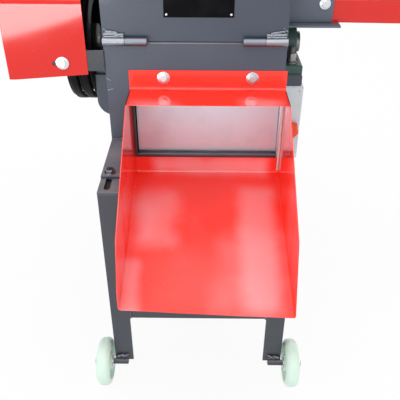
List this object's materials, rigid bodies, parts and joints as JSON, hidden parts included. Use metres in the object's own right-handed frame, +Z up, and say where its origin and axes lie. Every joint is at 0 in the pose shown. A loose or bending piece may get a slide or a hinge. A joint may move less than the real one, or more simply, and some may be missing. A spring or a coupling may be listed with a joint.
{
  "type": "chaff cutter",
  "caption": "Motor-driven chaff cutter: knife disc and throwing paddles in a sheet-steel housing, belt drive, side feed tray, hinged cover and discharge chute, on a wheeled angle-iron frame.",
  "frame": {"origin": "middle of the footprint's bounding box, on the floor", "axes": "+Z up, -Y out of the discharge chute (the front), +X along the rotor shaft towards the feed tray"},
  "size_m": [1.047, 0.841, 0.8065],
  "materials": {
    "frame_paint": "semi-gloss",
    "housing_paint": "semi-gloss",
    "red_paint": "gloss",
    "zinc": "satin zinc plate",
    "galvanised": "galvanised",
    "bare_steel": "turned",
    "tool_steel": "ground",
    "bearing_paint": "satin green enamel",
    "pulley_iron": "satin black",
    "belt_rubber": "matt",
    "motor_paint": "satin",
    "fan_cover_paint": "satin",
    "fan_plastic": "matt",
    "wheel_plastic": "gloss",
    "plate_black": "gloss",
    "knob_black": "matt",
    "switch_plastic": "satin",
    "switch_red": "gloss"
  },
  "bodies": {
    "frame": {"wheel_axles": "frame_paint", "leg_front_left": "frame_paint", "leg_front_right": "frame_paint", "leg_rear_left": "frame_paint", "leg_rear_right": "frame_paint", "post_left": "frame_paint", "rail_upper_left": "frame_paint", "rail_lower_left": "frame_paint", "rail_right": "frame_paint", "crossbars": "frame_paint", "rear_feet": "frame_paint", "motor_plate": "frame_paint", "guard_brackets": "frame_paint", "housing_front": "housing_paint", "housing_left": "housing_paint", "housing_right": "housing_paint", "housing_scroll": "housing_paint", "hinge_knuckles_fixed": "housing_paint", "bearing_bracket_left": "housing_paint", "bearing_bracket_right": "housing_paint", "feed_floor": "housing_paint", "feed_box": "housing_paint", "discharge_chute": "red_paint", "belt_guard": "red_paint", "feed_tray": "red_paint", "foot_bolts": "zinc", "panel_bolts": "zinc", "bearing_bolts": "zinc", "motor_bolts": "zinc", "axle_washers": "zinc", "hinge_pins": "bare_steel", "flap_rod": "bare_steel", "counter_knife": "tool_steel", "bearing_block_left": "bearing_paint", "bearing_block_right": "bearing_paint", "v_belts": "belt_rubber", "motor_body": "motor_paint", "motor_end_shields": "motor_paint", "motor_terminal_box": "motor_paint", "motor_fan_cover": "fan_cover_paint", "switch_box": "switch_plastic", "switch_cover": "switch_plastic"},
    "rotor": {"rotor_shaft": "bare_steel", "bearing_rings": "bare_steel", "knife_disc": "bare_steel", "knives": "tool_steel", "knife_bolts": "bare_steel", "paddle_rotor": "housing_paint", "rotor_pulley": "pulley_iron"},
    "motor_rotor": {"motor_shaft": "bare_steel", "motor_pulley": "pulley_iron", "motor_fan": "fan_plastic"},
    "cover": {"upper_cover": "housing_paint", "nameplate": "plate_black", "hinge_knuckles_moving": "zinc"},
    "cover_knob": {"cover_knob": "knob_black"},
    "flap": {"discharge_flap": "galvanised"},
    "wheel_left": {"wheel_left": "wheel_plastic"},
    "wheel_right": {"wheel_right": "wheel_plastic"},
    "switch_knob": {"switch_knob": "switch_red"}
  },
  "joints": [
    {"name": "cover_hinge", "type": "hinge", "parent": "frame", "child": "cover", "pos_m": [-0.1745, -0.0965, 0.6795], "axis": [1, 0, 0], "range_deg": [0, 110]},
    {"name": "cover_knob_turn", "type": "hinge", "parent": "cover", "child": "cover_knob", "pos_m": [-0.1745, 0.2975, 0.69], "axis": [0, 0, 1], "continuous": true},
    {"name": "rotor_spin", "type": "hinge", "parent": "frame", "child": "rotor", "pos_m": [-0.1665, 0.0975, 0.62], "axis": [1, 0, 0], "continuous": true},
    {"name": "motor_spin", "type": "hinge", "parent": "frame", "child": "motor_rotor", "pos_m": [-0.1665, 0.3105, 0.45], "axis": [1, 0, 0], "continuous": true},
    {"name": "flap_swing", "type": "hinge", "parent": "frame", "child": "flap", "pos_m": [-0.151, -0.0765, 0.577], "axis": [-1, 0, 0], "range_deg": [0, 70]},
    {"name": "wheel_left_spin", "type": "hinge", "parent": "frame", "child": "wheel_left", "pos_m": [-0.3625, -0.2855, 0.05], "axis": [1, 0, 0], "continuous": true},
    {"name": "wheel_right_spin", "type": "hinge", "parent": "frame", "child": "wheel_right", "pos_m": [0.0295, -0.2855, 0.05], "axis": [1, 0, 0], "continuous": true},
    {"name": "switch_turn", "type": "hinge", "parent": "frame", "child": "switch_knob", "pos_m": [0.03375, -0.0045, 0.466], "axis": [0, -1, 0], "range_deg": [-60, 60]}
  ],
  "couplings": [
    {"joint": "motor_spin", "follows": "rotor_spin", "ratio": 2.7412}
  ]
}
